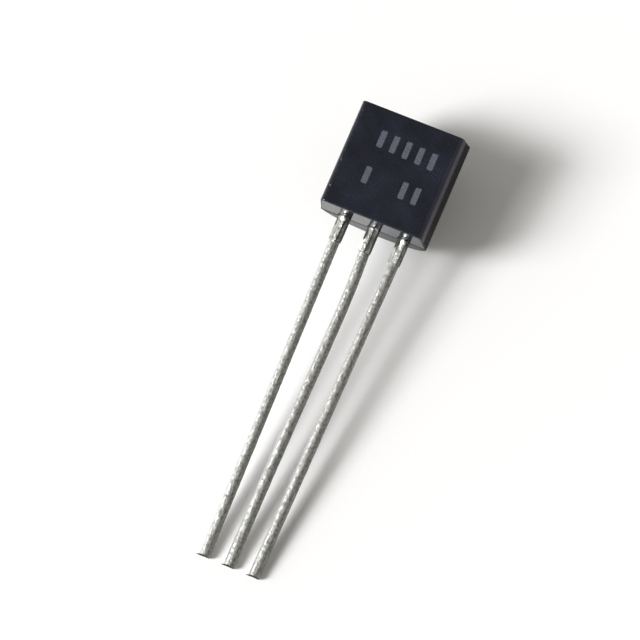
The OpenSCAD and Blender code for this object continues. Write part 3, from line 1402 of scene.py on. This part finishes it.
    def build(self, skins: dict[Skin, Material]) -> None:
        """Builds the case, with its marks and the space of all that it holds.

        Args:
            skins: The finishes of the case.
        """
        matt = skins[Skin.ERODED]
        case = combine(self.shell(matt), [self.gate(matt)], "UNION")
        held = [self.level.level_copy(n, matt) for n in self.level.nodes if n != "case"]
        cutters = [self.ejector(matt), *self.marks(skins[Skin.ETCHED]), *held]
        case = combine(case, cutters, "DIFFERENCE")
        smooth(case)
        self.dress(case, skins)
        self.level.hand_over(case, "case", Slot.COMPOUND)


@dataclass
class Lead:
    """A lead: stamped strip inside the case and beside it, dipped in solder further out.

    Solder climbed part of the bare root in a narrow run, which ends in a bead on some leads.
    """

    level: LevelFrame
    node: str
    x: float
    aside: float = 0.03
    # The bare root beside the case, with rolled upper edges and a torn right shoulder
    root_w: float = 0.476
    root_l: float = 1.0
    strip_t: float = 0.376
    roll_r: float = 0.045
    roll_steps: int = 4
    torn_l: float = 0.16
    station: float = 0.05
    wander: float = 0.006
    wander_waves: Span = (3.0, 6.0)
    margin_shift: float = 0.0
    # The dipped leg, which leans to one side or bows near the case
    lead_w: float = 0.455
    lead_t: float = 0.404
    corner_r: float = 0.19
    lean: float = 0.0
    bow: float = 0.0
    relief: float = 0.01
    grain: Triple = (0.1, 0.17, 0.1)
    overlap: float = 0.05
    # The run of climbed solder: its place across the lead at the case and at its far end, and how
    # far it stands proud of the strip
    run_x: Span = (0.0, 0.0)
    run_w: float = 0.15
    run_t: float = 0.11
    run_proud: float = 0.055
    run_tilt: float = 0.16
    run_relief: float = 0.016
    run_grain: Triple = (0.08, 0.12, 0.08)
    # The bead, a flattened ball whose middle is 0.9 of its radius from the case, or none where its
    # radius is 0
    bead_r: float = 0.0
    bead_out: float = 0.9
    bead_z: float = 2.64
    bead_flat: float = 0.45
    bead_facing: Triple = (-0.27, -0.27, 0.92)
    # The cut end: where its slant starts below the lead's middle, and how far back it leads
    cut_l: float = 0.07
    cut_start: float = 0.13
    cut_slant: float = 0.065
    cut_margin: float = 0.004
    burr_l: float = 0.11
    burr_t: float = 0.045
    burr_down: float = 0.11

    def across(self, name: str, side: Sequence[Span], material: Material) -> Piece:
        """Makes a block with one outline right across the part, which serves to cut the lead.

        Args:
            name: The object's name.
            side: Y and Z of the outline's points.
            material: The material of the cut.

        Returns:
            The block.
        """
        return loft(name, [[(x, y, z) for y, z in side] for x in (-3.0, 3.0)], material)

    def tip_cutter(self, metal: Material) -> Piece:
        """Makes the wedge that leaves the lead's end sheared at a slant.

        Args:
            metal: The material of the cut face.

        Returns:
            The cutter.
        """
        low = self.level.lead_z - self.cut_start
        high = self.level.lead_z + self.lead_t / 2
        above = 2 * high - low
        end = -self.level.lead_l
        slant = [(end + 0.002, low), (end + self.cut_slant, high), (end + 2 * self.cut_slant, above)]
        return self.across("tip_cutter", [(end - 1.0, low), *slant, (end - 1.0, above)], metal)

    def burr(self, metal: Material) -> Piece:
        """Makes the thin lip that the cutter dragged out to the left of the lead's end.

        Args:
            metal: The material.

        Returns:
            The solid.
        """
        tip_x = self.x + self.aside + self.lean - self.lead_w / 2
        low = -self.level.lead_l + self.cut_margin
        middle_z = self.level.lead_z - self.burr_down
        # How far out each ring lies, half its height, and its share of the full thickness
        outline = ((-0.8, 0.05, 1.0), (0.0, 0.05, 1.0), (0.6, 0.04, 0.6), (1.0, 0.02, 0.3))
        rings = []
        for out, half_z, thick in outline:
            x = tip_x - self.burr_l * out
            high = low + self.burr_t * thick
            corners = ((low, -half_z), (low, half_z), (high, half_z), (high, -half_z))
            rings.append([(x, y, middle_z + z) for y, z in corners])
        return loft("burr", rings, metal)

    def root(self, strip: Material) -> Piece:
        """Makes the bare root beside the case, with rolled upper edges and sheared sides.

        Args:
            strip: The material.

        Returns:
            The solid.
        """
        half_t, r, middle = self.strip_t / 2, self.roll_r, self.x + self.aside
        steps = round(self.root_l / self.station)
        shoulder = (self.root_w - self.lead_w) / 2
        rings = []
        for k in range(steps + 1):
            y = -self.root_l * k / steps
            edges = []
            for layer in (4, 9):
                place = Vector((self.x * self.wander_waves[0], y * self.wander_waves[1], layer))
                edges.append(self.root_w / 2 - self.wander * abs(noise.noise(place)))
            left, right = edges
            right -= shoulder * max(0.0, 1 - (self.root_l + y) / self.torn_l)
            ring = [(-left, -half_t), (right, -half_t)]
            ring += arc((right - r, half_t - r), r, 0.0, QUARTER, self.roll_steps)
            ring += arc((r - left, half_t - r), r, QUARTER, math.pi, self.roll_steps)
            rings.append([(middle + x, y, self.level.lead_z + z) for x, z in ring])
        return loft("root", rings, strip)

    def bead(self, solder: Material) -> Piece:
        """Makes the small bead in which the climbed solder ends at the case.

        Args:
            solder: The material.

        Returns:
            The solid.
        """
        x = self.x + self.aside + self.run_x[0]
        middle = Vector((x, -self.bead_out * self.bead_r, self.bead_z))
        facing = Vector(self.bead_facing).to_track_quat("Z", "Y")
        piece = mesh_object("bead", [], [], solder)
        with edited(piece.data) as shape:
            bmesh.ops.create_icosphere(shape, subdivisions=3, radius=self.bead_r)
            for vertex in shape.verts:
                vertex.co.z *= self.bead_flat
                vertex.co = facing @ vertex.co + middle
        return piece

    def leg(self, tree: ShapeTree, solder: Material) -> Piece:
        """Makes the stretch that was dipped in solder.

        Args:
            tree: The tree of a solder-coated bar.
            solder: The material.

        Returns:
            The solid.
        """
        return tree.make(
            "leg",
            solder,
            Start=(self.x + self.aside, self.overlap - self.root_l, self.level.lead_z),
            Length=self.level.lead_l - self.root_l + self.overlap - self.cut_margin,
            Lean=self.lean,
            Bow=self.bow,
            Width=self.lead_w,
            Thickness=self.lead_t,
            Corner=self.corner_r,
            Ring_step=0.045,
            Relief=self.relief,
            Grain=self.grain,
            Cut_length=self.cut_l,
        )

    def run(self, tree: ShapeTree, solder: Material) -> Piece:
        """Makes the run of solder that climbed the root.

        Args:
            tree: The tree of a solder-coated bar.
            solder: The material.

        Returns:
            The solid.
        """
        z = self.level.lead_z + self.strip_t / 2 + self.run_proud - self.run_t / 2
        return tree.make(
            "run",
            solder,
            Start=(self.x + self.aside + self.run_x[0], -0.01, z),
            Length=self.root_l + self.overlap,
            Lean=self.run_x[1] - self.run_x[0],
            Tilt=self.run_tilt,
            Width=self.run_w,
            Thickness=self.run_t,
            Corner=self.run_t * 0.4,
            Ring_step=0.03,
            Relief=self.run_relief,
            Grain=self.run_grain,
            Cut_length=0.01,
        )

    def dress(self, lead: Piece, edge: Material) -> None:
        """Gives the root its stamped side faces, and each point its distance from the root's middle.

        Args:
            lead: The piece in the level frame.
            edge: The finish of the stamped faces.
        """
        lead.data.materials.append(edge)
        for face in lead.data.polygons:
            beside = -self.root_l - 0.01 < face.center.y < 0
            if beside and (abs(face.normal.x) > 0.9 or face.normal.y < -0.9):
                face.material_index = len(lead.data.materials) - 1
        across = lead.data.attributes.new(ACROSS, "FLOAT", "POINT")
        middle = self.x + self.aside - self.margin_shift
        across.data.foreach_set("value", [v.co.x - middle for v in lead.data.vertices])

    def build(self, tree: ShapeTree, metals: dict[Metal, Material]) -> None:
        """Builds the lead.

        Args:
            tree: The tree of a solder-coated bar.
            metals: The finishes of the leads.
        """
        strip = metals[Metal.BARE if self.bead_r else Metal.CLIMBED]
        start = -self.overlap / 2
        kept = self.across("inside", [(start, -1), (5, -1), (5, 5), (start, 5)], strip)
        lead = combine(self.level.level_copy(self.node, strip), [kept], "INTERSECT")
        solder = metals[Metal.DIPPED]
        added = [self.root(strip), self.leg(tree, solder), self.run(tree, solder)]
        if self.bead_r:
            added.append(self.bead(metals[Metal.BEADED]))
        lead = combine(lead, added, "UNION")
        lead = combine(lead, [self.tip_cutter(metals[Metal.SHEARED])], "DIFFERENCE")
        lead = combine(lead, [self.burr(metals[Metal.SHEARED])], "UNION")
        lead.name = "tinned_" + self.node
        smooth(lead)
        self.dress(lead, metals[Metal.STAMPED])
        self.level.hand_over(lead, self.node, Slot.LEAD)


@dataclass
class Transistor:
    """The whole part."""

    level: LevelFrame
    bead_r: float = 0.125

    def leads(self) -> list[Lead]:
        """Lays out the three leads, each with its own lean or bow and its own run of solder.

        Returns:
            The leads, from left to right.
        """
        level, pitch = self.level, self.level.lead_pitch
        beaded = partial(Lead, level, bead_r=self.bead_r)
        return [
            beaded("emitter_lead", -pitch, lean=0.22, run_x=(0.03, 0.0), run_w=0.18, margin_shift=0.06),
            Lead(level, "base_lead", 0.0, bow=0.09, run_x=(-0.01, -0.03), run_w=0.16, run_proud=0.04),
            beaded(
                "collector_lead", pitch, lean=-0.21, run_x=(0.06, 0.03), run_w=0.24, margin_shift=-0.03
            ),
        ]

    def build(self) -> None:
        """Builds every piece and dresses the CAD nodes that stay."""
        MouldedCase(self.level).build({s: f.make(self.level) for s, f in SKINS.items()})
        metals = {m: f.make(self.level) for m, f in METALS.items()}
        tree = solder_run_tree()
        for lead in self.leads():
            lead.build(tree, metals)
        for finish, names in KEPT_NODES.items():
            material = finish.make(self.level)
            for name in names:
                mesh = self.level.nodes[name].data
                mesh.materials.clear()
                mesh.materials.append(material)
                log.info("%s: %s", name, material.name)


def main() -> None:
    """Builds the studio and the part."""
    logging.basicConfig(level=logging.INFO, format="%(message)s")
    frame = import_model()
    level = LevelFrame(frame)
    log.info(
        "case %.3f x %.3f x %.3f mm, lead plane %.3f, pitch %.3f, leads %.3f mm",
        level.case_w, level.case_h, level.case_t, level.lead_z, level.lead_pitch, level.lead_l,
    )
    Studio().build()
    Transistor(level).build()


if __name__ == "__main__":
    main()
